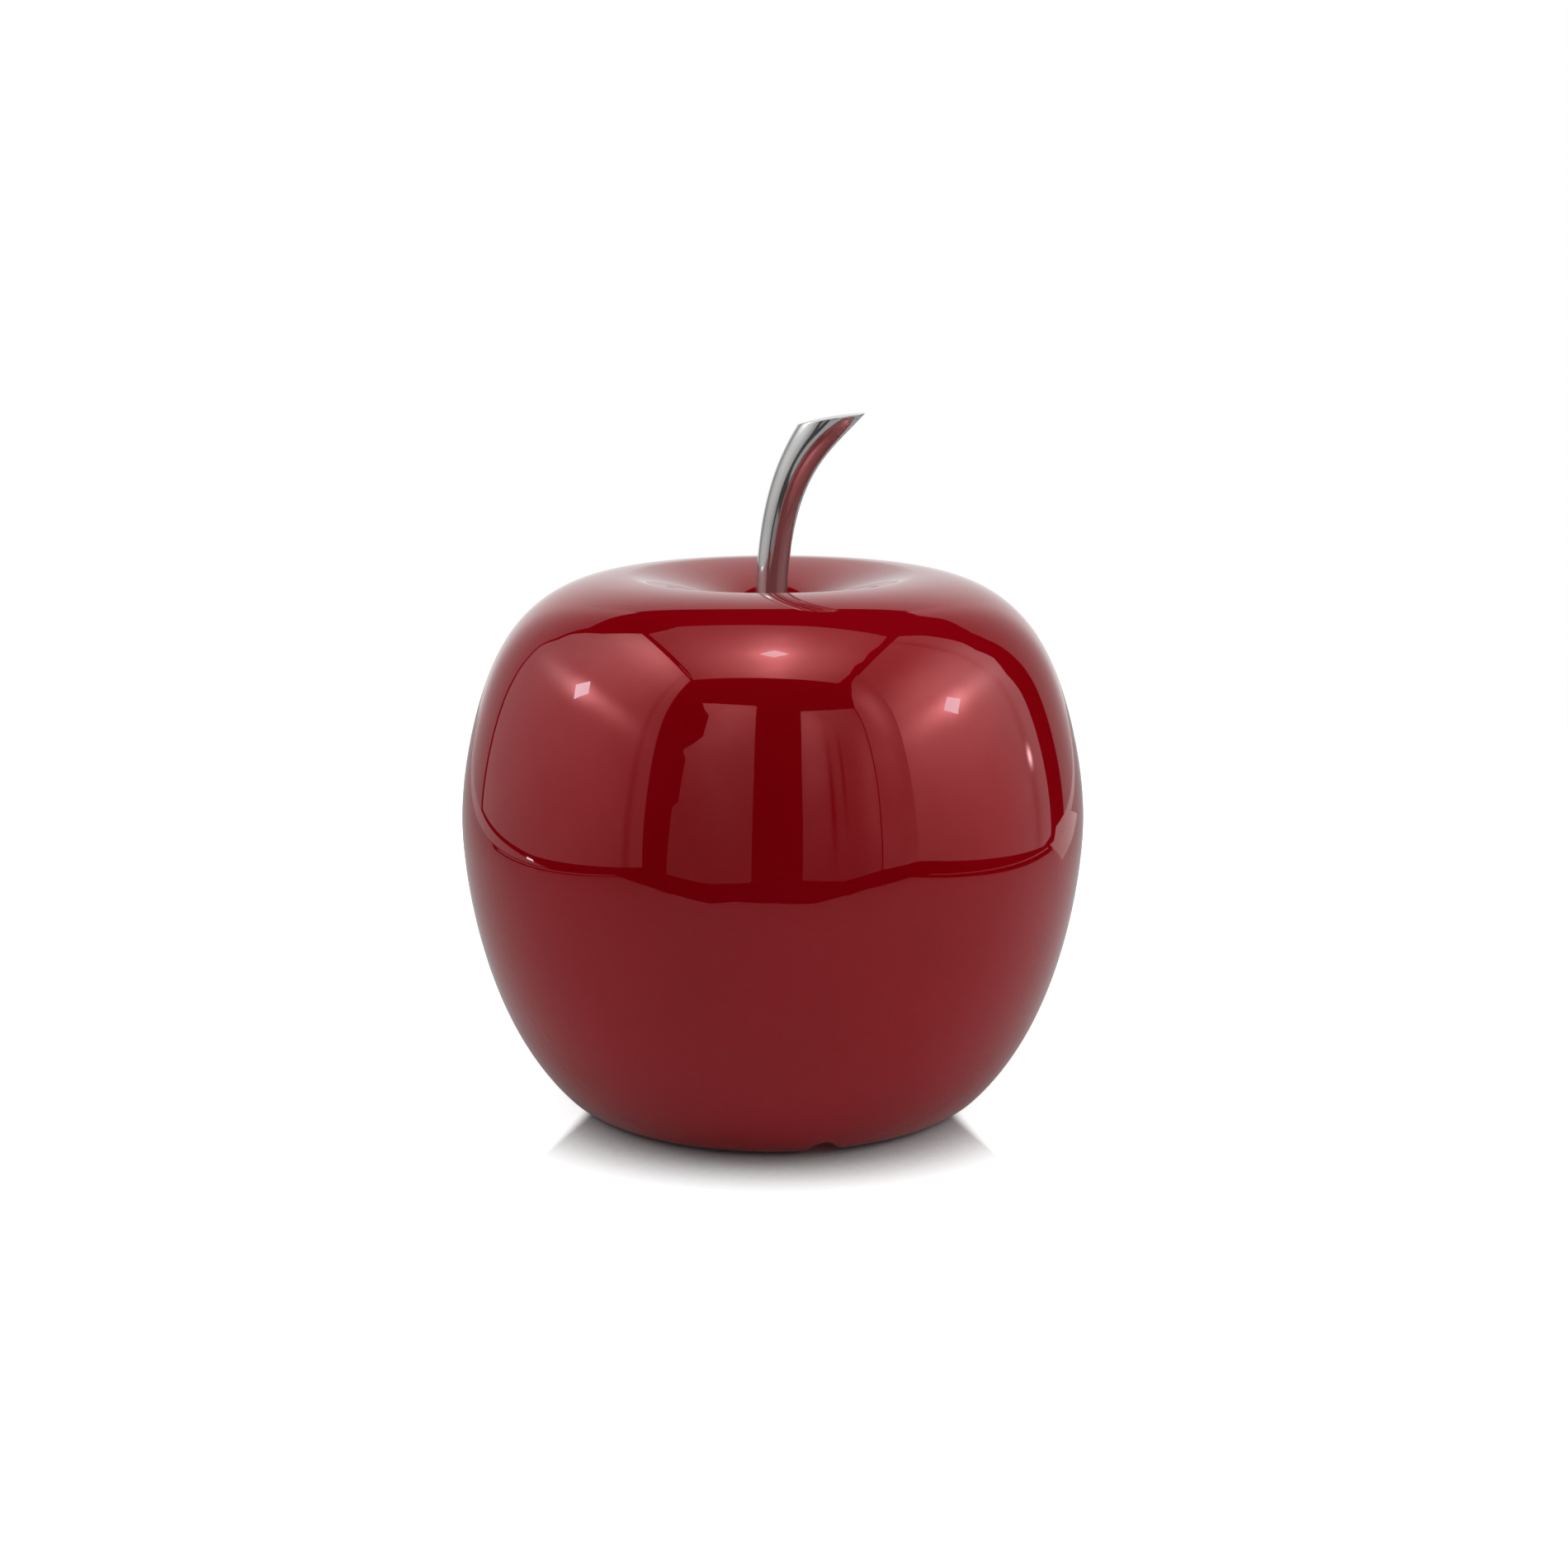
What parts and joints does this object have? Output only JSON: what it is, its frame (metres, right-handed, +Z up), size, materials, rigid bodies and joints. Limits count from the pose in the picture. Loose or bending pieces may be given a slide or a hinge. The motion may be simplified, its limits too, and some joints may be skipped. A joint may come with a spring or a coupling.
{
  "type": "metal apple sculpture",
  "caption": "Hollow cast apple ornament in glossy red enamel with a curved polished metal stem bolted into the dimple on top; stands on small pads under a ring foot.",
  "frame": {"origin": "on the surface that the apple stands on, under the middle of the round body", "axes": "+Z up through the body to the stem; the front faces -Y and the stem bends to +X and to the front"},
  "size_m": [0.254, 0.254, 0.2794],
  "materials": {
    "red_enamel": "glossy enamel on cast aluminium",
    "polished_aluminium": "mirror polished",
    "plated_steel": "zinc plated",
    "pad_rubber": "matt"
  },
  "bodies": {
    "root": {"foot_pad_1": "pad_rubber", "foot_pad_2": "pad_rubber", "foot_pad_3": "pad_rubber", "foot_pad_4": "pad_rubber", "lower_body_shell": "red_enamel", "upper_body_shell": "red_enamel", "stem": "polished_aluminium", "stem_stud": "plated_steel", "stem_flat_washer": "plated_steel", "stem_spring_washer": "plated_steel", "stem_nut": "plated_steel"}
  },
  "joints": []
}
